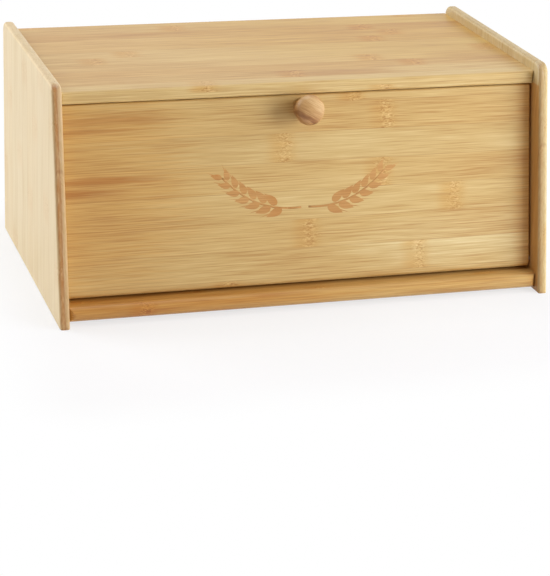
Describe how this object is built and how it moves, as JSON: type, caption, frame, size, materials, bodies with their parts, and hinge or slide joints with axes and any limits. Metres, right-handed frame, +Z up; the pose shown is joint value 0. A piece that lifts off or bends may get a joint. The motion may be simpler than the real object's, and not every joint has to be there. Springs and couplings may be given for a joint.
{
  "type": "bread box",
  "caption": "Low bread box of pale bamboo boards with a leaning drop-front door, turned knob, magnetic catch and raised rounded side panels.",
  "frame": {"origin": "centre of the rectangle that the box covers on its shelf, at the height of the side panels' bottom edges", "axes": "+X to the right of someone facing the door, -Y out of the front, +Z up"},
  "size_m": [0.4, 0.24, 0.182],
  "materials": {
    "bamboo_upright": "satin clear varnish, grain upright",
    "bamboo_board": "satin clear varnish, grain along the width",
    "bamboo_door": "satin clear varnish, grain along the width",
    "turned_wood": "turned and varnished",
    "block_wood": "sawn and sanded",
    "dowel_wood": "raw",
    "magnet_nickel": "nickel plate",
    "zinc_steel": "zinc plate"
  },
  "bodies": {
    "box": {"side_panel_left": "bamboo_upright", "side_panel_right": "bamboo_upright", "top_panel": "bamboo_board", "floor_panel": "bamboo_board", "front_rail": "bamboo_board", "back_panel": "bamboo_board", "back_rail": "bamboo_board", "catch_block": "block_wood", "catch_magnet": "magnet_nickel", "catch_block_screw": "zinc_steel", "top_panel_dowels_left": "dowel_wood", "top_panel_dowels_right": "dowel_wood", "floor_panel_dowels_left": "dowel_wood", "floor_panel_dowels_right": "dowel_wood", "back_panel_dowels_left": "dowel_wood", "back_panel_dowels_right": "dowel_wood", "front_rail_dowel_left": "dowel_wood", "front_rail_dowel_right": "dowel_wood", "back_rail_dowel_left": "dowel_wood", "back_rail_dowel_right": "dowel_wood"},
    "door": {"door_panel": "bamboo_door", "door_knob": "turned_wood", "knob_screw": "zinc_steel", "hinge_pin_left": "zinc_steel", "hinge_pin_right": "zinc_steel"}
  },
  "joints": [
    {"name": "door_hinge", "type": "hinge", "parent": "box", "child": "door", "pos_m": [0, -0.09651, 0.0225], "axis": [1, 0, 0], "range_deg": [0, 98.3]}
  ]
}
